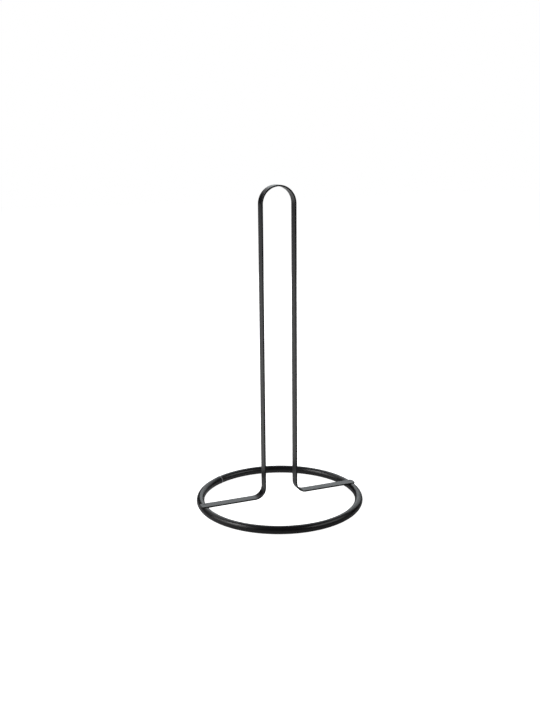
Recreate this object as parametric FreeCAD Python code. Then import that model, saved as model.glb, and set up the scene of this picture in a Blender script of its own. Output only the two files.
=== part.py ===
"""Free-standing paper towel holder, welded from flat steel strip and round steel bar.

One flat strip is bent into a tall hairpin whose two feet lie across a round-bar base ring and are
welded to it.  The bar's own two ends meet at a butt weld.

Frame: millimetres, +Z up.  The origin is the centre of the base ring at table level.  The hairpin
stands in the XZ plane, so its feet point along -X (left) and +X (right).
"""
import FreeCAD
import Part

import math
import os

# ---------------------------------------------------------------- overall sizes
BASE_DIAMETER = 170.0        # outside of the base ring
OVERALL_HEIGHT = 320.0       # table to the crown of the arch

# ---------------------------------------------------------------- base ring
BAR_DIAMETER = 8.0           # round bar
JOINT_ANGLE = 120.0          # degrees from +X to the butt joint, at the back left
JOINT_GAP = 1.2              # between the bar's square-cut ends, filled by the weld
JOINT_CROWN = 0.2            # how far the weld stands proud of the bar

# ---------------------------------------------------------------- hairpin strip
STRIP_WIDTH = 10.0           # along Y
STRIP_THICKNESS = 1.5
SPINDLE_WIDTH = 36.0         # across the outer faces of the two legs, goes inside the roll's core
FOOT_BEND_RADIUS = 10.0      # inside (concave) radius where a leg turns into its foot
FOOT_CORNER_RADIUS = 3.0     # rounded corners of the foot ends, in plan
STRIP_EDGE_RADIUS = 0.4      # rolled edges of the strip
FOOT_END_SETBACK = 0.0       # foot end to the outside of the ring

# ---------------------------------------------------------------- foot joints
SEAT_DEPTH = 1.0             # how deep the foot is pressed into the top of the bar
SEAT_SIDE_GAP = 0.1          # seat wall to the strip's edge
INNER_WELD_LEG = 2.0         # bead under the foot, towards the ring's centre
OUTER_WELD_LEG = 0.9         # bead under the foot's end
INNER_WELD_MARGIN = 0.7      # bead end to the strip's edge
OUTER_WELD_MARGIN = 2.0      # the same, clear of the rounded corners

# ---------------------------------------------------------------- derived sizes
BAR_RADIUS = BAR_DIAMETER / 2
RING_RADIUS = BASE_DIAMETER / 2 - BAR_RADIUS
FOOT_UNDERSIDE = BAR_DIAMETER - SEAT_DEPTH
FOOT_TOP = FOOT_UNDERSIDE + STRIP_THICKNESS
FOOT_END = BASE_DIAMETER / 2 - FOOT_END_SETBACK
LEG_OUTER = SPINDLE_WIDTH / 2
LEG_INNER = LEG_OUTER - STRIP_THICKNESS
BEND_X = LEG_OUTER + FOOT_BEND_RADIUS
BEND_Z = FOOT_TOP + FOOT_BEND_RADIUS
ARCH_Z = OVERALL_HEIGHT - LEG_OUTER
SEAT_HALF_CHORD = math.sqrt(BAR_RADIUS ** 2 - (BAR_RADIUS - SEAT_DEPTH) ** 2)

CUT_MARGIN = 2.0             # how far a cutting box runs past the metal
SMOOTH_COSINE = 0.9          # two faces whose normals agree better than this meet smoothly
UP = FreeCAD.Vector(0, 0, 1)
ORIGIN = FreeCAD.Vector(0, 0, 0)


def point(x, z):
    """A point of the XZ plane."""
    return FreeCAD.Vector(x, 0, z)


def line(start, end):
    """A straight edge in the XZ plane."""
    return Part.LineSegment(point(*start), point(*end)).toShape()


def arc(centre, radius, start_degrees, end_degrees):
    """A circular edge in the XZ plane; angles count from +X towards +Z."""
    middle_degrees = (start_degrees + end_degrees) / 2
    on_arc = []
    for degrees in (start_degrees, middle_degrees, end_degrees):
        angle = math.radians(degrees)
        on_arc.append(point(centre[0] + radius * math.cos(angle), centre[1] + radius * math.sin(angle)))
    return Part.Arc(*on_arc).toShape()


def strip_outline():
    """The strip seen from the front: underside and inner faces first, then back over the outer faces."""
    inner_bend = FOOT_BEND_RADIUS + STRIP_THICKNESS
    edges = [
        line((-FOOT_END, FOOT_UNDERSIDE), (-BEND_X, FOOT_UNDERSIDE)),
        arc((-BEND_X, BEND_Z), inner_bend, -90, 0),
        line((-LEG_INNER, BEND_Z), (-LEG_INNER, ARCH_Z)),
        arc((0, ARCH_Z), LEG_INNER, 180, 0),
        line((LEG_INNER, ARCH_Z), (LEG_INNER, BEND_Z)),
        arc((BEND_X, BEND_Z), inner_bend, 180, 270),
        line((BEND_X, FOOT_UNDERSIDE), (FOOT_END, FOOT_UNDERSIDE)),
        line((FOOT_END, FOOT_UNDERSIDE), (FOOT_END, FOOT_TOP)),
        line((FOOT_END, FOOT_TOP), (BEND_X, FOOT_TOP)),
        arc((BEND_X, BEND_Z), FOOT_BEND_RADIUS, 270, 180),
        line((LEG_OUTER, BEND_Z), (LEG_OUTER, ARCH_Z)),
        arc((0, ARCH_Z), LEG_OUTER, 0, 180),
        line((-LEG_OUTER, ARCH_Z), (-LEG_OUTER, BEND_Z)),
        arc((-BEND_X, BEND_Z), FOOT_BEND_RADIUS, 0, -90),
        line((-BEND_X, FOOT_TOP), (-FOOT_END, FOOT_TOP)),
        line((-FOOT_END, FOOT_TOP), (-FOOT_END, FOOT_UNDERSIDE)),
    ]
    return Part.Wire(edges)


def is_foot_corner(edge):
    """True for the four short upright edges at the corners of the foot ends."""
    box = edge.BoundBox
    upright = box.XLength < STRIP_EDGE_RADIUS and box.YLength < STRIP_EDGE_RADIUS
    at_end = abs(abs(box.Center.x) - FOOT_END) < STRIP_EDGE_RADIUS
    return upright and at_end


def sharp_edges(solid):
    """The edges where two faces meet at a corner, without the seams where one runs smoothly into the next."""
    found = []
    for edge in solid.Edges:
        middle = edge.valueAt((edge.FirstParameter + edge.LastParameter) / 2)
        normals = []
        for face in solid.ancestorsOfType(edge, Part.Face):
            u, v = face.Surface.parameter(middle)
            normals.append(face.normalAt(u, v))
        if normals[0].dot(normals[1]) < SMOOTH_COSINE:
            found.append(edge)
    return found


def hairpin_strip():
    """The bent strip: outline pushed out to the strip's width, corners and edges rounded."""
    face = Part.Face(strip_outline())
    face.translate(FreeCAD.Vector(0, -STRIP_WIDTH / 2, 0))
    solid = face.extrude(FreeCAD.Vector(0, STRIP_WIDTH, 0))
    corners = [edge for edge in solid.Edges if is_foot_corner(edge)]
    solid = solid.makeFillet(FOOT_CORNER_RADIUS, corners)
    return solid.makeFillet(STRIP_EDGE_RADIUS, sharp_edges(solid))


def seat_cutter(side):
    """The block that presses a foot's flat seat into the top of the bar; side is -1 left, +1 right."""
    length = BAR_DIAMETER + 2 * CUT_MARGIN
    width = STRIP_WIDTH + 2 * SEAT_SIDE_GAP
    block = Part.makeBox(length, width, SEAT_DEPTH + CUT_MARGIN)
    block.translate(FreeCAD.Vector(side * RING_RADIUS - length / 2, -width / 2, FOOT_UNDERSIDE))
    return block


def place_at_joint(shape):
    """Move a shape made about the origin to the butt joint, its X axis along the bar."""
    joint = math.radians(JOINT_ANGLE)
    shape.rotate(ORIGIN, UP, JOINT_ANGLE + 90)
    shape.translate(FreeCAD.Vector(RING_RADIUS * math.cos(joint), RING_RADIUS * math.sin(joint), BAR_RADIUS))
    return shape


def joint_cutter():
    """The square-sided gap between the bar's two ends."""
    side = BAR_DIAMETER + 2 * CUT_MARGIN
    block = Part.makeBox(JOINT_GAP, side, side)
    block.translate(FreeCAD.Vector(-JOINT_GAP / 2, -side / 2, -side / 2))
    return place_at_joint(block)


def base_ring():
    """The round bar rolled into a ring, with a seat for each foot and a gap at its butt joint."""
    ring = Part.makeTorus(RING_RADIUS, BAR_RADIUS)
    ring.translate(FreeCAD.Vector(0, 0, BAR_RADIUS))
    for side in (-1, 1):
        ring = ring.cut(seat_cutter(side))
    return ring.cut(joint_cutter())


def ring_butt_weld():
    """The crowned disc of weld metal that fills the butt joint, ground flush with the table underneath."""
    half_gap = JOINT_GAP / 2
    crown = Part.Arc(
        point(-half_gap, BAR_RADIUS),
        point(0, BAR_RADIUS + JOINT_CROWN),
        point(half_gap, BAR_RADIUS),
    ).toShape()
    edges = [
        line((-half_gap, 0), (-half_gap, BAR_RADIUS)),
        crown,
        line((half_gap, BAR_RADIUS), (half_gap, 0)),
        line((half_gap, 0), (-half_gap, 0)),
    ]
    disc = Part.Face(Part.Wire(edges)).revolve(ORIGIN, FreeCAD.Vector(1, 0, 0), 360)
    disc = place_at_joint(disc)
    side = 2 * BASE_DIAMETER
    below_table = Part.makeBox(side, side, BAR_DIAMETER)
    below_table.translate(FreeCAD.Vector(-side / 2, -side / 2, -BAR_DIAMETER))
    return disc.cut(below_table)


def weld_bead(inward, leg, margin):
    """One bead in the wedge between a foot's underside and the bar, on the +X side of the ring.

    inward is -1 for the bead towards the ring's centre and +1 for the one under the foot's end.
    """
    seat_edge = RING_RADIUS + inward * SEAT_HALF_CHORD
    seat_angle = math.asin((BAR_RADIUS - SEAT_DEPTH) / BAR_RADIUS)
    toe_angle = seat_angle - leg / BAR_RADIUS
    middle_angle = (seat_angle + toe_angle) / 2

    def on_bar(angle):
        x = RING_RADIUS + inward * BAR_RADIUS * math.cos(angle)
        return point(x, BAR_RADIUS + BAR_RADIUS * math.sin(angle))

    root = point(seat_edge, FOOT_UNDERSIDE)
    toe_on_foot = point(seat_edge + inward * leg, FOOT_UNDERSIDE)
    toe_on_bar = on_bar(toe_angle)
    edges = [
        Part.LineSegment(root, toe_on_foot).toShape(),
        Part.LineSegment(toe_on_foot, toe_on_bar).toShape(),
        Part.Arc(toe_on_bar, on_bar(middle_angle), root).toShape(),
    ]
    half_turn = math.degrees((STRIP_WIDTH / 2 - margin) / RING_RADIUS)
    face = Part.Face(Part.Wire(edges))
    face.rotate(ORIGIN, UP, -half_turn)
    return face.revolve(ORIGIN, UP, 2 * half_turn)


def foot_weld(side):
    """The two beads that hold one foot; side is -1 left, +1 right."""
    inner = weld_bead(-1, INNER_WELD_LEG, INNER_WELD_MARGIN)
    outer = weld_bead(1, OUTER_WELD_LEG, OUTER_WELD_MARGIN)
    beads = Part.makeCompound([inner, outer])
    if side < 0:
        beads.rotate(ORIGIN, UP, 180)
    return beads


def main():
    """Build every piece and write one STEP file for each."""
    pieces = {
        "base_ring": base_ring(),
        "ring_butt_weld": ring_butt_weld(),
        "hairpin_strip": hairpin_strip(),
        "left_foot_weld": foot_weld(-1),
        "right_foot_weld": foot_weld(1),
    }
    os.makedirs("parts", exist_ok=True)
    for name, shape in pieces.items():
        if not shape.isValid():
            raise ValueError(name + " is not a valid shape")
        shape.exportStep(os.path.join("parts", name + ".step"))
        box = shape.BoundBox
        print(name, "solids", len(shape.Solids), "volume", round(shape.Volume, 1), "box", box)


main()
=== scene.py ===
"""Paper towel holder: a hairpin of flat steel strip welded across a round-bar base ring.

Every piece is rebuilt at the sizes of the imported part, with the surface that the real stand has:
rolled strip edges, crowned welds and the faint orange peel of a baked black powder coat.  Lengths are
in metres.
"""

import logging
import math
from dataclasses import dataclass, field
from enum import Enum
from typing import Any, Optional, Sequence

import bpy
from mathutils import Matrix, Vector, noise


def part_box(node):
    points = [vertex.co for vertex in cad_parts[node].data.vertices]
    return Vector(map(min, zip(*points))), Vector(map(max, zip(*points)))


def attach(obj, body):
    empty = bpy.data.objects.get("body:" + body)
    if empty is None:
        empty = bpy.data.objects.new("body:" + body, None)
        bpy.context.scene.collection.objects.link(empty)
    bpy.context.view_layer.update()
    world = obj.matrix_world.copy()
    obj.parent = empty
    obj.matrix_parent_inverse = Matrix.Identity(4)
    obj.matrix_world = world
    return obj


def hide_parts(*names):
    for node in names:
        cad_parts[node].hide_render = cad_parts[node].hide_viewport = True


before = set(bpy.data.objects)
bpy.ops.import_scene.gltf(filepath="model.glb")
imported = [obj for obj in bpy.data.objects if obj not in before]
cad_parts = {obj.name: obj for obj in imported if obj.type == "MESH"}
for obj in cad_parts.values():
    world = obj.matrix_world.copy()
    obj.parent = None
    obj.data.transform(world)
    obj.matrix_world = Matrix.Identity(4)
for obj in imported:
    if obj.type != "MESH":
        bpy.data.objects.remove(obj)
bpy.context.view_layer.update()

MM = 0.001
BODY = "root"
WHITE = "#ffffff"
COOL_WHITE = "#f6fcff"
log = logging.getLogger("paper_towel_holder")


class Side(Enum):
    """The two feet of the hairpin, as the sign of their X direction."""

    LEFT = -1
    RIGHT = 1


class Slot(Enum):
    """The record's material slots."""

    RING = "ring_powder_coat"
    STRIP = "strip_powder_coat"
    WELD = "weld_powder_coat"


# ---------------------------------------------------------------- nodes
def linear(hex_colour: str) -> tuple[float, float, float, float]:
    """Turn an sRGB colour into the linear one that shaders use, by the standard sRGB curve.

    Args:
        hex_colour: the colour as "#rrggbb".

    Returns:
        Linear red, green and blue, and an alpha of 1.
    """
    channels = []
    for start in (1, 3, 5):
        value = int(hex_colour[start:start + 2], 16) / 255
        channels.append(value / 12.92 if value <= 0.04045 else ((value + 0.055) / 1.055) ** 2.4)
    return (channels[0], channels[1], channels[2], 1.0)


def add_node(
    tree: bpy.types.NodeTree,
    kind: str,
    inputs: Optional[dict[str, Any]] = None,
    output: str = "",
    **settings: Any,
) -> Optional[bpy.types.NodeSocket]:
    """Add a node, set its properties, and fill or link its inputs.

    Args:
        tree: the node tree that gets the node.
        kind: the node's type name.
        inputs: what each input gets, a constant or the socket that feeds it.  The key is the input's
            identifier, or its name where that is plain.
        output: name of the output that is wanted, or nothing for the first one in use.
        **settings: properties of the node, such as operation.

    Returns:
        The output socket, or None for a node that has none.
    """
    node = tree.nodes.new(kind)
    for name, value in settings.items():
        setattr(node, name, value)
    for key, value in (inputs or {}).items():
        exact = [socket for socket in node.inputs if socket.identifier == key]
        named = [socket for socket in node.inputs if socket.name == key and socket.enabled]
        socket = (exact or named)[0]
        if isinstance(value, bpy.types.NodeSocket):
            tree.links.new(value, socket)
        else:
            socket.default_value = value
    in_use = [socket for socket in node.outputs if socket.enabled and output in ("", socket.name)]
    return in_use[0] if in_use else None


def new_tree(name: str, sizes: Sequence[str]) -> tuple[bpy.types.NodeTree, Any]:
    """Start a geometry node tree that takes a mesh, named sizes and a material.

    Args:
        name: the tree's name.
        sizes: the names of its number inputs.

    Returns:
        The tree, and the sockets that give its inputs inside it.
    """
    tree = bpy.data.node_groups.new(name, "GeometryNodeTree")
    tree.interface.new_socket("Geometry", in_out="INPUT", socket_type="NodeSocketGeometry")
    for size in sizes:
        tree.interface.new_socket(size, in_out="INPUT", socket_type="NodeSocketFloat")
    tree.interface.new_socket("Material", in_out="INPUT", socket_type="NodeSocketMaterial")
    tree.interface.new_socket("Geometry", in_out="OUTPUT", socket_type="NodeSocketGeometry")
    return tree, tree.nodes.new("NodeGroupInput").outputs


def end_tree(
    tree: bpy.types.NodeTree,
    shape: bpy.types.NodeSocket,
    material: bpy.types.NodeSocket,
) -> None:
    """Finish a tree with smooth faces, real geometry and its material.

    Args:
        tree: the tree to finish.
        shape: the socket that holds the shape.
        material: the socket that holds the material.
    """
    smooth = add_node(tree, "GeometryNodeSetShadeSmooth", {"Geometry": shape})
    real = add_node(tree, "GeometryNodeRealizeInstances", {"Geometry": smooth})
    dressed = add_node(tree, "GeometryNodeSetMaterial", {"Geometry": real, "Material": material})
    add_node(tree, "NodeGroupOutput", {"Geometry": dressed})


def grow(
    name: str,
    start: bpy.types.Mesh,
    tree: bpy.types.NodeTree,
    values: dict[str, Any],
) -> bpy.types.Object:
    """Run a geometry node tree on a mesh and keep the result as a plain mesh.

    Args:
        name: the finished piece's name.
        start: the mesh that the tree starts from.
        tree: the geometry node tree.
        values: what each of the tree's named inputs is set to.

    Returns:
        A mesh object at the origin, with no modifier.
    """
    seed = show(name + "_seed", start)
    modifier = seed.modifiers.new(tree.name, "NODES")
    modifier.node_group = tree
    for item in tree.interface.items_tree:
        if item.in_out == "INPUT" and item.name in values:
            modifier[item.identifier] = values[item.name]
    graph = bpy.context.evaluated_depsgraph_get()
    mesh = bpy.data.meshes.new_from_object(seed.evaluated_get(graph))
    mesh.name = name
    seed.modifiers.clear()
    bpy.data.objects.remove(seed)
    bpy.data.meshes.remove(start)
    return show(name, mesh)


def show(name: str, mesh: bpy.types.Mesh) -> bpy.types.Object:
    """Put a mesh into the scene as an object at the origin.

    Args:
        name: the object's name.
        mesh: its mesh, with its place in it.

    Returns:
        The object.
    """
    piece = bpy.data.objects.new(name, mesh)
    bpy.context.scene.collection.objects.link(piece)
    return piece


def hand_over(piece: bpy.types.Object, node: str) -> bpy.types.Object:
    """Attach a finished piece to the body that it rides on, and hide the CAD node that it stands for.

    Args:
        piece: the finished object.
        node: the CAD node that it replaces.

    Returns:
        The same object.
    """
    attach(piece, BODY)
    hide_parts(node)
    return piece


def closed_body(
    name: str,
    rings: Sequence[Sequence[Vector]],
    material: bpy.types.Material,
) -> bpy.types.Object:
    """Skin rings of points into one closed, smooth body.

    Args:
        name: the object's name.
        rings: the rings in order, each with the same number of points, turning the same way.
        material: the body's material.

    Returns:
        The object, its faces outwards and a cap at each end.
    """
    count = len(rings[0])
    points = [tuple(point) for ring in rings for point in ring]
    faces: list[tuple[int, ...]] = []
    for row in range(len(rings) - 1):
        for column in range(count):
            after = (column + 1) % count
            here, ahead = row * count, (row + 1) * count
            faces.append((here + column, here + after, ahead + after, ahead + column))
    faces.append(tuple(reversed(range(count))))
    faces.append(tuple(range(len(points) - count, len(points))))
    mesh = bpy.data.meshes.new(name)
    mesh.from_pydata(points, [], faces)
    mesh.validate()
    mesh.polygons.foreach_set("use_smooth", [True] * len(mesh.polygons))
    mesh.materials.append(material)
    mesh.update()
    return show(name, mesh)


# ---------------------------------------------------------------- finishes
@dataclass(frozen=True)
class PowderCoat:
    """Powder-coated steel: a baked plastic skin about 0.1 mm thick, black and satin.

    The eye gets a near-black body, a soft highlight that breaks up on the orange peel, and a paler sheen
    at grazing angles.  Over rolled edges the melting powder pulls back, so they are a touch greyer and
    a little smoother.
    """

    name: str
    colour: str = "#1b1b1d"
    cloud_colour: str = "#212123"
    edge_colour: str = "#2d2d2f"
    roughness: float = 0.28
    roughness_swing: float = 0.07
    edge_polish: float = 0.06
    ior: float = 1.5
    cloud_size: float = 14 * MM
    cloud_detail: float = 4.0
    cloud_spread: tuple[float, float] = (0.3, 0.7)  # noise seldom leaves this range
    peel_size: float = 2.2 * MM
    peel_detail: float = 1.0
    peel_height: float = 0.012 * MM
    grain_size: float = 0.7 * MM  # the real grain is near 0.2 mm; drawn coarser so that it shows
    grain_detail: float = 2.0
    grain_height: float = 0.0016 * MM

    def material(self) -> bpy.types.Material:
        """Build the finish as a node material.

        Returns:
            The material, which reads object coordinates and the piece's "edge" attribute.
        """
        made = bpy.data.materials.new(self.name)
        made.use_nodes = True
        tree = made.node_tree
        tree.nodes.clear()
        place = add_node(tree, "ShaderNodeTexCoord", output="Object")
        clouds = add_node(tree, "ShaderNodeTexNoise", {
            "Vector": place, "Scale": 1 / self.cloud_size, "Detail": self.cloud_detail,
        })
        edge = add_node(tree, "ShaderNodeAttribute", output="Fac", attribute_name="edge")
        body = add_node(tree, "ShaderNodeMix", {
            "Factor_Float": clouds, "A_Color": linear(self.colour), "B_Color": linear(self.cloud_colour),
        }, data_type="RGBA")
        colour = add_node(tree, "ShaderNodeMix", {
            "Factor_Float": edge, "A_Color": body, "B_Color": linear(self.edge_colour),
        }, data_type="RGBA")
        satin = add_node(tree, "ShaderNodeMapRange", {
            "Value": clouds,
            "From Min": self.cloud_spread[0],
            "From Max": self.cloud_spread[1],
            "To Min": self.roughness - self.roughness_swing / 2,
            "To Max": self.roughness + self.roughness_swing / 2,
        })
        roughness = add_node(tree, "ShaderNodeMath", {
            "Value": edge, "Value_001": -self.edge_polish, "Value_002": satin,
        }, operation="MULTIPLY_ADD")
        peel = add_node(tree, "ShaderNodeTexNoise", {
            "Vector": place, "Scale": 1 / self.peel_size, "Detail": self.peel_detail,
        })
        grain = add_node(tree, "ShaderNodeTexNoise", {
            "Vector": place, "Scale": 1 / self.grain_size, "Detail": self.grain_detail,
        })
        peel_bump = add_node(tree, "ShaderNodeBump", {"Height": peel, "Distance": self.peel_height})
        skin = add_node(tree, "ShaderNodeBump", {
            "Height": grain, "Distance": self.grain_height, "Normal": peel_bump,
        })
        shader = add_node(tree, "ShaderNodeBsdfPrincipled", {
            "Base Color": colour, "Roughness": roughness, "IOR": self.ior, "Normal": skin,
        })
        add_node(tree, "ShaderNodeOutputMaterial", {"Surface": shader})
        return made


BAR_COAT = PowderCoat("powder_coated_steel_bar")
STRIP_COAT = PowderCoat("powder_coated_steel_strip")

# Over weld metal the coat is rougher and a little greyer, so the beads look dull beside the smooth bar.
WELD_COAT = PowderCoat(
    "powder_coated_weld", colour="#2e2e30", cloud_colour="#3a3a3c", roughness=0.42,
)

# Over the ring's joint the colour is a painted highlight: pale grey stands in for the fine light line
# that the seam catches round the bar.
SEAM_HIGHLIGHT_COAT = PowderCoat(
    "ring_seam_painted_highlight", colour="#9a9b9e", cloud_colour="#a8a9ac", roughness=0.4,
)


# ---------------------------------------------------------------- base
@dataclass
class BaseRing:
    """The round bar rolled into the base ring, with a flat seat pressed into it under each foot."""

    finish: PowderCoat
    joint_gap: float = 1.2 * MM
    seat_height: float = 7.0 * MM
    seat_side_gap: float = 0.1 * MM
    steps_round: int = 1200
    section_points: int = 40
    bar_radius: float = field(init=False)
    ring_radius: float = field(init=False)
    joint_angle: float = field(init=False)
    seat_half_width: float = field(init=False)

    def __post_init__(self) -> None:
        """Take the ring's sizes and the direction of its joint from the frame."""
        low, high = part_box("base_ring")
        self.bar_radius = (high.z - low.z) / 2
        self.ring_radius = min(high.x - low.x, high.y - low.y) / 2 - self.bar_radius
        weld_low, weld_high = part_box("ring_butt_weld")
        middle = (weld_low + weld_high) / 2
        self.joint_angle = math.atan2(middle.y, middle.x)
        strip_low, strip_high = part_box("hairpin_strip")
        self.seat_half_width = (strip_high.y - strip_low.y) / 2 + self.seat_side_gap

    def tree(self) -> bpy.types.NodeTree:
        """Build the tree that sweeps the bar round the ring and presses the seats.

        Returns:
            The geometry node tree.
        """
        tree, size = new_tree("rolled_bar_ring", [
            "Ring Radius", "Bar Radius", "Start Angle", "Sweep Angle", "Seat Height", "Seat Half Width",
        ])
        circle = add_node(tree, "GeometryNodeCurveArc", {
            "Resolution": self.steps_round,
            "Radius": size["Ring Radius"],
            "Start Angle": size["Start Angle"],
            "Sweep Angle": size["Sweep Angle"],
        })
        section = add_node(tree, "GeometryNodeCurvePrimitiveCircle", {
            "Resolution": self.section_points, "Radius": size["Bar Radius"],
        })
        bar = add_node(tree, "GeometryNodeCurveToMesh", {
            "Curve": circle, "Profile Curve": section, "Fill Caps": True,
        })
        lift = add_node(tree, "ShaderNodeCombineXYZ", {"Z": size["Bar Radius"]})
        standing = add_node(tree, "GeometryNodeSetPosition", {"Geometry": bar, "Offset": lift})
        place = add_node(tree, "GeometryNodeInputPosition")
        x, y, z = add_node(tree, "ShaderNodeSeparateXYZ", {"Vector": place}).node.outputs
        off_middle = add_node(tree, "ShaderNodeMath", {"Value": y}, operation="ABSOLUTE")
        outwards = add_node(tree, "ShaderNodeMath", {"Value": x}, operation="ABSOLUTE")
        within = add_node(tree, "ShaderNodeMath", {
            "Value": off_middle, "Value_001": size["Seat Half Width"],
        }, operation="LESS_THAN")
        on_ring = add_node(tree, "ShaderNodeMath", {
            "Value": outwards, "Value_001": size["Bar Radius"],
        }, operation="GREATER_THAN")
        under_foot = add_node(tree, "ShaderNodeMath", {
            "Value": within, "Value_001": on_ring,
        }, operation="MULTIPLY")
        pressed = add_node(tree, "ShaderNodeMath", {
            "Value": z, "Value_001": size["Seat Height"],
        }, operation="MINIMUM")
        seat = add_node(tree, "ShaderNodeCombineXYZ", {"X": x, "Y": y, "Z": pressed})
        seated = add_node(tree, "GeometryNodeSetPosition", {
            "Geometry": standing, "Selection": under_foot, "Position": seat,
        })
        end_tree(tree, seated, size["Material"])
        return tree

    def build(self) -> bpy.types.Object:
        """Make the ring.

        Returns:
            The finished piece.
        """
        half_gap = self.joint_gap / 2 / self.ring_radius
        piece = grow("base_ring_bar", bpy.data.meshes.new("ring_seed"), self.tree(), {
            "Ring Radius": self.ring_radius,
            "Bar Radius": self.bar_radius,
            "Start Angle": self.joint_angle + half_gap,
            "Sweep Angle": math.tau - 2 * half_gap,
            "Seat Height": self.seat_height,
            "Seat Half Width": self.seat_half_width,
            "Material": self.finish.material(),
        })
        return hand_over(piece, "base_ring")


@dataclass
class RingButtWeld:
    """The crowned bead that closes the ring, ground flush underneath so that the ring sits flat."""

    ring: BaseRing
    finish: PowderCoat
    crown: float = 0.2 * MM
    ripple: float = 0.04 * MM
    ripple_size: float = 1.6 * MM
    ripple_fade: int = 4
    steps_along: int = 12
    points_round: int = 96

    def section(self, along: float) -> list[Vector]:
        """Give the ring of points at one place across the bead.

        Args:
            along: place across the bead, from -1 at one bar end to 1 at the other.

        Returns:
            The points round the bar, none below the table.
        """
        to_joint = Matrix.Rotation(self.ring.joint_angle, 3, "Z")
        points = []
        for index in range(self.points_round):
            turn = math.tau * index / self.points_round
            out = Vector((math.cos(turn), along * self.ring.joint_gap / 2, math.sin(turn)))
            spot = Vector((out.x, along, out.z)) * (self.ring.bar_radius / self.ripple_size)
            ripple = self.ripple * noise.noise(spot) * (1 - along ** self.ripple_fade)
            proud = self.crown * (1 - along * along) + ripple
            radius = self.ring.bar_radius + min(proud, self.crown)
            height = max(self.ring.bar_radius + out.z * radius, 0.0)
            points.append(to_joint @ Vector((self.ring.ring_radius + out.x * radius, out.y, height)))
        return points

    def build(self) -> bpy.types.Object:
        """Make the bead.

        Returns:
            The finished piece.
        """
        rings = [self.section(2 * step / self.steps_along - 1) for step in range(self.steps_along + 1)]
        piece = closed_body("ring_butt_weld_bead", rings, self.finish.material())
        return hand_over(piece, "ring_butt_weld")


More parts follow.
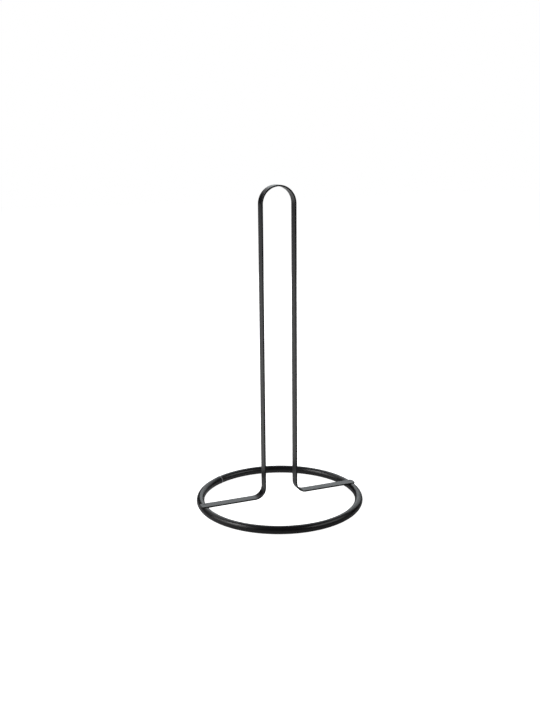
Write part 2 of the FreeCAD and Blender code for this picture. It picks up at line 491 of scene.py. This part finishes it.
# ---------------------------------------------------------------- upright
@dataclass
class HairpinStrip:
    """The flat strip bent into the tall hairpin: foot, leg, arch, leg, foot."""

    finish: PowderCoat
    thickness: float = 1.5 * MM
    edge_radius: float = 0.4 * MM
    bend_radius: float = 10.0 * MM
    leg_outer: float = 18.0 * MM
    foot_top: float = 8.5 * MM
    foot_corner_radius: float = 3.0 * MM
    edge_wear: tuple[float, float] = (-1.0, -0.3)  # where greyness starts and is full, in edge radii
    dent_radius: float = 2.6 * MM
    dent_depth: float = 0.12 * MM
    dent_floor: float = 0.6  # the share of its radius over which a dent is flat
    fine_length: float = 10.0 * MM
    fine_step: float = 0.3 * MM
    corner_step: int = 9  # degrees
    leg_step: float = 6.0 * MM
    foot_bend_points: int = 24
    arch_points: int = 48
    arch_slack: float = 0.01 * MM  # half of the short run between the arch's two quarter bends
    edge_points: int = 6
    section_points: int = 80
    merge_distance: float = 0.0005 * MM
    width: float = field(init=False)
    foot_end: float = field(init=False)
    crown: float = field(init=False)

    def __post_init__(self) -> None:
        """Take the strip's outer sizes from the frame."""
        low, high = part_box("hairpin_strip")
        self.width = high.y - low.y
        self.foot_end = (high.x - low.x) / 2
        self.crown = high.z

    def foot_stations(self) -> list[float]:
        """Choose where a foot needs a section: close together at its rounded end, and over its dent.

        Returns:
            Distances from the foot's end, in order.
        """
        stations = {0.0}
        angles = range(0, 90, self.corner_step)
        for radius in (self.foot_corner_radius, self.edge_radius):
            stations.update(radius * (1 - math.sin(math.radians(angle))) for angle in angles)
        fine = int((self.fine_length - self.foot_corner_radius) / self.fine_step)
        stations.update(self.foot_corner_radius + self.fine_step * step for step in range(1, fine + 1))
        return sorted(stations)

    def middle_line(self) -> bpy.types.Mesh:
        """Draw the middle of the strip's thickness as straight runs, each corner marked with its bend.

        Returns:
            A mesh of edges with the attributes "bend_radius" and "bend_points".
        """
        half = self.thickness / 2
        low, leg = self.foot_top - half, self.leg_outer - half
        top = self.crown - half
        foot_bend, arch_bend = self.bend_radius + half, leg - self.arch_slack
        left = [(-self.foot_end + station, low, 0.0, 1) for station in self.foot_stations()]
        left.append((-leg, low, foot_bend, self.foot_bend_points))
        first = low + foot_bend + self.leg_step
        steps = int((top - arch_bend - self.leg_step - first) / self.leg_step)
        left.extend((-leg, first + self.leg_step * step, 0.0, 1) for step in range(steps + 1))
        left.append((-leg, top, arch_bend, self.arch_points))
        right = [(-x, z, radius, count) for x, z, radius, count in reversed(left)]
        corners = left + right
        mesh = bpy.data.meshes.new("hairpin_middle_line")
        edges = [(index, index + 1) for index in range(len(corners) - 1)]
        mesh.from_pydata([(x, 0.0, z) for x, z, _, _ in corners], edges, [])
        radii = mesh.attributes.new("bend_radius", "FLOAT", "POINT")
        radii.data.foreach_set("value", [corner[2] for corner in corners])
        counts = mesh.attributes.new("bend_points", "INT", "POINT")
        counts.data.foreach_set("value", [corner[3] for corner in corners])
        return mesh

    def tree(self) -> bpy.types.NodeTree:
        """Build the tree that bends the middle line, sweeps the rolled section and shapes the foot ends.

        Returns:
            The geometry node tree.
        """
        tree, size = new_tree("bent_strip", [
            "Width", "Thickness", "Edge Radius", "Corner Radius", "Foot End", "Foot Middle",
            "Dent Place", "Dent Radius", "Dent Depth",
        ])
        line = add_node(tree, "GeometryNodeMeshToCurve", {"Mesh": size["Geometry"]})
        radius = add_node(tree, "GeometryNodeInputNamedAttribute", {
            "Name": "bend_radius",
        }, data_type="FLOAT")
        count = add_node(tree, "GeometryNodeInputNamedAttribute", {
            "Name": "bend_points",
        }, data_type="INT")
        bent = add_node(tree, "GeometryNodeFilletCurve", {
            "Curve": line, "Count": count, "Radius": radius,
        }, mode="POLY")
        level = add_node(tree, "GeometryNodeSetCurveNormal", {
            "Curve": bent, "Normal": (0.0, 1.0, 0.0),
        }, mode="FREE")
        swept = add_node(tree, "GeometryNodeCurveToMesh", {
            "Curve": level, "Profile Curve": self.section(tree, size), "Fill Caps": True,
        })
        clean = add_node(tree, "GeometryNodeMergeByDistance", {
            "Geometry": swept, "Distance": self.merge_distance,
        })
        ended = self.round_ends(tree, size, clean)
        end_tree(tree, self.press_dents(tree, size, ended), size["Material"])
        return tree

    def section(self, tree: bpy.types.NodeTree, size: Any) -> bpy.types.NodeSocket:
        """Draw the strip's rolled section, with "edge" stored as 1 on its rounded corners.

        Args:
            tree: the tree to add to.
            size: the tree's inputs.

        Returns:
            The socket that gives the section curve.
        """
        sharp = add_node(tree, "GeometryNodeCurvePrimitiveQuadrilateral", {
            "Width": size["Width"], "Height": size["Thickness"],
        })
        rolled = add_node(tree, "GeometryNodeFilletCurve", {
            "Curve": sharp, "Count": self.edge_points, "Radius": size["Edge Radius"],
        }, mode="POLY")
        even = add_node(tree, "GeometryNodeResampleCurve", {
            "Curve": rolled, "Count": self.section_points,
        })
        place = add_node(tree, "GeometryNodeInputPosition")
        axes = add_node(tree, "ShaderNodeSeparateXYZ", {"Vector": place}).node.outputs
        depths = []
        for axis, across in zip(axes, ("Width", "Thickness")):
            distance = add_node(tree, "ShaderNodeMath", {"Value": axis}, operation="ABSOLUTE")
            depths.append(add_node(tree, "ShaderNodeMath", {
                "Value": size[across], "Value_001": -1 / 2, "Value_002": distance,
            }, operation="MULTIPLY_ADD"))
        into_corner = add_node(tree, "ShaderNodeMath", {
            "Value": depths[0], "Value_001": depths[1],
        }, operation="MINIMUM")
        from_edge = add_node(tree, "ShaderNodeMath", {
            "Value": into_corner, "Value_001": size["Edge Radius"],
        }, operation="DIVIDE")
        worn = add_node(tree, "ShaderNodeMapRange", {
            "Value": from_edge, "From Min": self.edge_wear[0], "From Max": self.edge_wear[1],
        })
        return add_node(tree, "GeometryNodeStoreNamedAttribute", {
            "Geometry": even, "Name": "edge", "Value": worn,
        }, data_type="FLOAT", domain="POINT")

    def round_ends(
        self,
        tree: bpy.types.NodeTree,
        size: Any,
        shape: bpy.types.NodeSocket,
    ) -> bpy.types.NodeSocket:
        """Narrow the last sections of each foot to rounded corners in plan and a rolled end edge.

        Args:
            tree: the tree to add to.
            size: the tree's inputs.
            shape: the socket that gives the swept strip.

        Returns:
            The socket that gives the shaped strip.
        """
        place = add_node(tree, "GeometryNodeInputPosition")
        x, y, z = add_node(tree, "ShaderNodeSeparateXYZ", {"Vector": place}).node.outputs
        outwards = add_node(tree, "ShaderNodeMath", {"Value": x}, operation="ABSOLUTE")
        to_end = add_node(tree, "ShaderNodeMath", {
            "Value": size["Foot End"], "Value_001": outwards,
        }, operation="SUBTRACT")
        narrow = self.rounding(tree, to_end, size["Corner Radius"], size["Width"])
        thin = self.rounding(tree, to_end, size["Edge Radius"], size["Thickness"])
        new_y = add_node(tree, "ShaderNodeMath", {"Value": y, "Value_001": narrow}, operation="MULTIPLY")
        height = add_node(tree, "ShaderNodeMath", {
            "Value": z, "Value_001": size["Foot Middle"],
        }, operation="SUBTRACT")
        new_z = add_node(tree, "ShaderNodeMath", {
            "Value": height, "Value_001": thin, "Value_002": size["Foot Middle"],
        }, operation="MULTIPLY_ADD")
        position = add_node(tree, "ShaderNodeCombineXYZ", {"X": x, "Y": new_y, "Z": new_z})
        return add_node(tree, "GeometryNodeSetPosition", {"Geometry": shape, "Position": position})

    def rounding(
        self,
        tree: bpy.types.NodeTree,
        to_end: bpy.types.NodeSocket,
        radius: bpy.types.NodeSocket,
        full: bpy.types.NodeSocket,
    ) -> bpy.types.NodeSocket:
        """Work out how far a section shrinks near the end for a corner of a given radius.

        Args:
            tree: the tree to add to.
            to_end: distance left to the foot's end.
            radius: the corner's radius.
            full: the strip's full size in the direction that shrinks.

        Returns:
            The socket that gives the section's scale, 1 where it is full.
        """
        share = add_node(tree, "ShaderNodeMath", {
            "Value": to_end, "Value_001": radius,
        }, operation="DIVIDE")
        past = add_node(tree, "ShaderNodeMath", {
            "Value": 1.0, "Value_001": share,
        }, operation="SUBTRACT", use_clamp=True)
        square = add_node(tree, "ShaderNodeMath", {
            "Value": past, "Value_001": past,
        }, operation="MULTIPLY")
        rest = add_node(tree, "ShaderNodeMath", {
            "Value": 1.0, "Value_001": square,
        }, operation="SUBTRACT")
        arc = add_node(tree, "ShaderNodeMath", {"Value": rest}, operation="SQRT")
        lost = add_node(tree, "ShaderNodeMath", {"Value": 1.0, "Value_001": arc}, operation="SUBTRACT")
        inset = add_node(tree, "ShaderNodeMath", {
            "Value": lost, "Value_001": radius,
        }, operation="MULTIPLY")
        both = add_node(tree, "ShaderNodeMath", {"Value": inset, "Value_001": 2.0}, operation="MULTIPLY")
        part = add_node(tree, "ShaderNodeMath", {"Value": both, "Value_001": full}, operation="DIVIDE")
        return add_node(tree, "ShaderNodeMath", {"Value": 1.0, "Value_001": part}, operation="SUBTRACT")

    def press_dents(
        self,
        tree: bpy.types.NodeTree,
        size: Any,
        shape: bpy.types.NodeSocket,
    ) -> bpy.types.NodeSocket:
        """Press the shallow round mark of the welding electrode into the top of each foot.

        Args:
            tree: the tree to add to.
            size: the tree's inputs.
            shape: the socket that gives the strip.

        Returns:
            The socket that gives the marked strip.
        """
        place = add_node(tree, "GeometryNodeInputPosition")
        x, y, z = add_node(tree, "ShaderNodeSeparateXYZ", {"Vector": place}).node.outputs
        outwards = add_node(tree, "ShaderNodeMath", {"Value": x}, operation="ABSOLUTE")
        along = add_node(tree, "ShaderNodeMath", {
            "Value": outwards, "Value_001": size["Dent Place"],
        }, operation="SUBTRACT")
        spot = add_node(tree, "ShaderNodeCombineXYZ", {"X": along, "Y": y})
        distance = add_node(tree, "ShaderNodeVectorMath", {"Vector": spot}, "Value", operation="LENGTH")
        share = add_node(tree, "ShaderNodeMath", {
            "Value": distance, "Value_001": size["Dent Radius"],
        }, operation="DIVIDE")
        bowl = add_node(tree, "ShaderNodeMapRange", {
            "Value": share, "From Min": self.dent_floor, "From Max": 1.0, "To Min": 1.0, "To Max": 0.0,
        }, interpolation_type="SMOOTHSTEP")
        on_top = add_node(tree, "ShaderNodeMath", {
            "Value": z, "Value_001": size["Foot Middle"],
        }, operation="GREATER_THAN")
        depth = add_node(tree, "ShaderNodeMath", {
            "Value": bowl, "Value_001": size["Dent Depth"],
        }, operation="MULTIPLY")
        down = add_node(tree, "ShaderNodeMath", {
            "Value": depth, "Value_001": -1.0,
        }, operation="MULTIPLY")
        offset = add_node(tree, "ShaderNodeCombineXYZ", {"Z": down})
        return add_node(tree, "GeometryNodeSetPosition", {
            "Geometry": shape, "Selection": on_top, "Offset": offset,
        })

    def build(self, dent_place: float) -> bpy.types.Object:
        """Make the hairpin.

        Args:
            dent_place: how far from the middle each electrode mark is.

        Returns:
            The finished piece.
        """
        piece = grow("hairpin_bent_strip", self.middle_line(), self.tree(), {
            "Width": self.width,
            "Thickness": self.thickness,
            "Edge Radius": self.edge_radius,
            "Corner Radius": self.foot_corner_radius,
            "Foot End": self.foot_end,
            "Foot Middle": self.foot_top - self.thickness / 2,
            "Dent Place": dent_place,
            "Dent Radius": self.dent_radius,
            "Dent Depth": self.dent_depth,
            "Material": self.finish.material(),
        })
        return hand_over(piece, "hairpin_strip")


@dataclass
class FootWeld:
    """The two beads of weld metal squeezed out under a foot, one on each side of its seat on the bar."""

    ring: BaseRing
    strip: HairpinStrip
    side: Side
    finish: PowderCoat
    inner_leg: float = 2.0 * MM
    outer_leg: float = 0.9 * MM
    inner_margin: float = 0.7 * MM
    outer_margin: float = 2.0 * MM
    bite: float = 0.08 * MM  # how deep the bead sinks into the bar and the foot
    hollow: float = 0.12  # how far its face is drawn in, as a share of its leg
    ripple: float = 0.12  # how much its section swells, as a share of its size
    ripple_size: float = 0.9 * MM
    ripple_seed: float = 5.0
    side_seed: float = 3.7
    end_fullness: int = 5  # the higher, the blunter the bead's ends
    thinnest: float = 0.08
    steps_along: int = 36
    face_steps: int = 8
    back_steps: int = 4

    def wedge(self, inward: int, leg: float) -> list[Vector]:
        """Outline one bead in the gap between the foot's underside and the bar.

        Args:
            inward: -1 for the bead towards the ring's centre, 1 for the one under the foot's end.
            leg: how far the bead reaches along the foot.

        Returns:
            Points in the XZ plane on the +X side, the first one deepest in the gap.
        """
        bar, top = self.ring.bar_radius, self.ring.seat_height
        centre = Vector((self.ring.ring_radius, 0.0, bar))
        seat_angle = math.asin((top - bar) / bar)
        toe_angle = seat_angle - leg / bar
        inside_bar = bar - self.bite

        def on_bar(angle: float) -> Vector:
            """Give a point just under the bar's surface."""
            return centre + Vector((inward * math.cos(angle), 0.0, math.sin(angle))) * inside_bar

        root = on_bar(seat_angle)
        reach = bar * math.cos(seat_angle) + leg
        toe_on_foot = Vector((centre.x + inward * reach, 0.0, top + self.bite))
        toe_on_bar = on_bar(toe_angle)
        face = []
        for step in range(1, self.face_steps):
            share = step / self.face_steps
            point = toe_on_foot.lerp(toe_on_bar, share)
            hollow = math.sin(math.pi * share) * self.hollow * leg
            face.append(point + (root - point).normalized() * hollow)
        back = []
        for step in range(1, self.back_steps):
            back.append(on_bar(toe_angle + (seat_angle - toe_angle) * step / self.back_steps))
        return [root, toe_on_foot, *face, toe_on_bar, *back]

    def bead(self, inward: int, leg: float, half_length: float) -> list[list[Vector]]:
        """Run one bead across the strip, its section swelling a little and tapering to both ends.

        Args:
            inward: -1 for the inner bead, 1 for the outer one.
            leg: how far the bead reaches along the foot.
            half_length: from its middle to its end.

        Returns:
            The bead's rings of points.
        """
        outline = self.wedge(inward, leg)
        root = outline[0]
        rings = []
        for step in range(self.steps_along + 1):
            share = 2 * step / self.steps_along - 1
            along = share * half_length
            place = (along / self.ripple_size, self.ripple_seed, self.side.value * self.side_seed)
            swell = 1 + self.ripple * noise.noise(Vector(place))
            scale = max(math.sqrt(1 - abs(share) ** self.end_fullness) * swell, self.thinnest)
            ring = []
            for point in outline:
                spread = root + (point - root) * min(scale, 1.0)
                ring.append(Vector((spread.x * self.side.value, along * self.side.value, spread.z)))
            rings.append(ring)
        return rings

    def build(self) -> bpy.types.Object:
        """Make the two beads as one piece.

        Returns:
            The finished piece.
        """
        name = self.side.name.lower() + "_foot_weld"
        material = self.finish.material()
        half = self.strip.width / 2
        inner_rings = self.bead(-1, self.inner_leg, half - self.inner_margin)
        outer_rings = self.bead(1, self.outer_leg, half - self.outer_margin)
        inner = closed_body(name + "_beads", inner_rings, material)
        outer = closed_body(name + "_outer", outer_rings, material)
        with bpy.context.temp_override(active_object=inner, selected_editable_objects=[inner, outer]):
            bpy.ops.object.join()
        return hand_over(inner, name)


# ---------------------------------------------------------------- studio
def looking_at(target: Vector, azimuth: float, elevation: float, distance: float) -> Matrix:
    """Place something that looks along its own -Z at a target.

    Args:
        target: the point it looks at.
        azimuth: which side of the target it is on, in degrees from the front towards the right.
        elevation: how high above the target it is, in degrees.
        distance: how far away it is.

    Returns:
        Its placement, with its own Y upwards.
    """
    turn, rise = math.radians(azimuth), math.radians(elevation)
    back = Vector((
        math.sin(turn) * math.cos(rise),
        -math.cos(turn) * math.cos(rise),
        math.sin(rise),
    ))
    facing = back.to_track_quat("Z", "Y").to_matrix().to_4x4()
    return Matrix.Translation(target + back * distance) @ facing


@dataclass
class Softbox:
    """A large soft lamp aimed at the stand, from azimuth 0 on the camera's side to 180 at the back."""

    name: str
    azimuth: float
    elevation: float
    radiance: float
    width: float
    height: float
    colour: str = WHITE
    distance: float = 1.5

    def hang(self, target: Vector, facing: float) -> bpy.types.Object:
        """Put the lamp up.

        Args:
            target: the point it is aimed at.
            facing: the camera's azimuth, in degrees, that azimuths count from.

        Returns:
            The lamp.
        """
        lamp = bpy.data.lights.new(self.name, "AREA")
        lamp.shape = "RECTANGLE"
        lamp.size = self.width
        lamp.size_y = self.height
        lamp.color = linear(self.colour)[:3]
        # An area lamp is as bright as its power over pi times its area.
        lamp.energy = self.radiance * math.pi * self.width * self.height
        piece = bpy.data.objects.new(self.name, lamp)
        piece.matrix_world = looking_at(target, facing + self.azimuth, self.elevation, self.distance)
        piece.visible_camera = False
        bpy.context.scene.collection.objects.link(piece)
        return piece


@dataclass
class Sheet:
    """A wide flat matt sheet under the stand, which may glow by itself, evenly or more to the back left.

    Its material is plain matt paper, so nothing on it draws the eye from the stand.
    """

    name: str
    depth: float
    colour: str
    front_glow: float
    back_glow: float
    size: float = 8.0
    roughness: float = 0.9
    glow_reach: float = 0.15
    back_left: tuple[float, float, float] = (-0.5, 0.87, 0.0)

    def material(self) -> bpy.types.Material:
        """Build the sheet's material.

        Returns:
            The material, which reads object coordinates where its glow is uneven.
        """
        paper = bpy.data.materials.new(self.name)
        paper.use_nodes = True
        tree = paper.node_tree
        tree.nodes.clear()
        glow: Any = self.front_glow
        if self.back_glow != self.front_glow:
            place = add_node(tree, "ShaderNodeTexCoord", output="Object")
            backwards = add_node(tree, "ShaderNodeVectorMath", {
                "Vector": place, "Vector_001": self.back_left,
            }, "Value", operation="DOT_PRODUCT")
            glow = add_node(tree, "ShaderNodeMapRange", {
                "Value": backwards,
                "From Min": -self.glow_reach,
                "From Max": self.glow_reach,
                "To Min": self.front_glow,
                "To Max": self.back_glow,
            })
        shader = add_node(tree, "ShaderNodeBsdfPrincipled", {
            "Base Color": linear(self.colour),
            "Roughness": self.roughness,
            "Emission Color": linear(WHITE),
            "Emission Strength": glow,
        })
        add_node(tree, "ShaderNodeOutputMaterial", {"Surface": shader})
        return paper

    def lay(self) -> bpy.types.Object:
        """Lay the sheet under the stand.

        Returns:
            The sheet, which isn't part of the object.
        """
        half, height = self.size / 2, -self.depth
        corners = [(x * half, y * half, height) for x, y in ((-1, -1), (1, -1), (1, 1), (-1, 1))]
        mesh = bpy.data.meshes.new(self.name)
        mesh.from_pydata(corners, [], [(0, 1, 2, 3)])
        mesh.materials.append(self.material())
        laid = show(self.name, mesh)
        return laid


@dataclass
class Studio:
    """A white floor and room for the camera, a grey table that only lights the stand, and soft lamps."""

    azimuth: float = -22.124
    elevation: float = 13.907
    distance: float = 0.9142
    target: Vector = field(default_factory=lambda: Vector((-7.775, 3.161, 149.109)) * MM)
    focal_length: float = 46.175
    sensor_width: float = 36.0
    clip: tuple[float, float] = (0.01, 20.0)
    roll: float = -0.586
    lamps: Sequence[Softbox] = ()

    def build(self) -> None:
        """Lay the floor and the table, hang the lamps, light the room and set up the camera."""
        floor = Sheet(
            "backlit_floor", depth=0.2 * MM, colour=WHITE, front_glow=1.0, back_glow=1.0,
        ).lay()
        floor.visible_glossy = False
        floor.visible_diffuse = False
        floor.visible_shadow = False
        table = Sheet(
            "lit_table", depth=0.5 * MM, colour="#a0a0a0", front_glow=0.0, back_glow=0.32,
        ).lay()
        table.visible_camera = False
        for lamp in self.lamps:
            lamp.hang(self.target, self.azimuth)
        self.light_room()
        self.place_camera()

    def light_room(self) -> None:
        """Make the room white to the eye, and leave the lighting to the lamps and the table."""
        world = bpy.data.worlds.new("white_room")
        world.use_nodes = True
        tree = world.node_tree
        tree.nodes.clear()
        white = add_node(tree, "ShaderNodeBackground", {"Color": linear(WHITE), "Strength": 1.0})
        add_node(tree, "ShaderNodeOutputWorld", {"Surface": white})
        world.cycles_visibility.diffuse = False
        world.cycles_visibility.glossy = False
        bpy.context.scene.world = world
        bpy.context.scene.view_settings.view_transform = "Standard"

    def place_camera(self) -> None:
        """Set the camera at its angle, with no shift and no depth of field."""
        aim = looking_at(self.target, self.azimuth, self.elevation, self.distance)
        lens = bpy.data.cameras.new("camera")
        lens.lens = self.focal_length
        lens.sensor_width = self.sensor_width
        lens.clip_start, lens.clip_end = self.clip
        camera = bpy.data.objects.new("camera", lens)
        camera.matrix_world = aim @ Matrix.Rotation(math.radians(self.roll), 4, "Z")
        bpy.context.scene.collection.objects.link(camera)
        bpy.context.scene.camera = camera


# ---------------------------------------------------------------- the stand
def lamps() -> list[Softbox]:
    """List the studio's lamps.

    Returns:
        Three cool ones behind the stand, which edge its legs and ring, one like a pale wall behind it on
        the left, two on its left and one on its right.
    """
    return [
        Softbox(
            "back_softbox", azimuth=180, elevation=17,
            radiance=1.3, width=0.75, height=0.9, colour=COOL_WHITE,
        ),
        Softbox(
            "back_high_softbox", azimuth=180, elevation=50,
            radiance=0.8, width=1.2, height=0.6, colour=COOL_WHITE,
        ),
        Softbox(
            "back_right_softbox", azimuth=150, elevation=20,
            radiance=1.1, width=0.75, height=0.7, colour=COOL_WHITE,
        ),
        Softbox(
            "back_left_wall", azimuth=-135, elevation=38,
            radiance=0.7, width=1.5, height=0.6,
        ),
        Softbox(
            "left_softbox", azimuth=-72, elevation=20,
            radiance=1.7, width=1.5, height=0.7,
        ),
        Softbox(
            "left_high_softbox", azimuth=-74, elevation=42,
            radiance=7.5, width=0.5, height=0.5,
        ),
        Softbox(
            "right_softbox", azimuth=72, elevation=32,
            radiance=1.7, width=1.4, height=0.7,
        ),
    ]


def main() -> None:
    """Build the stand piece by piece, then the studio."""
    logging.basicConfig(level=logging.INFO, format="%(message)s")
    ring = BaseRing(BAR_COAT)
    strip = HairpinStrip(STRIP_COAT)
    pieces = [
        ring.build(),
        RingButtWeld(ring, SEAM_HIGHLIGHT_COAT).build(),
        strip.build(dent_place=ring.ring_radius),
    ]
    pieces += [FootWeld(ring, strip, side, WELD_COAT).build() for side in Side]
    for piece in pieces:
        log.info("%s: %d faces", piece.name, len(piece.data.polygons))
    Studio(lamps=lamps()).build()


if __name__ == "__main__":
    main()
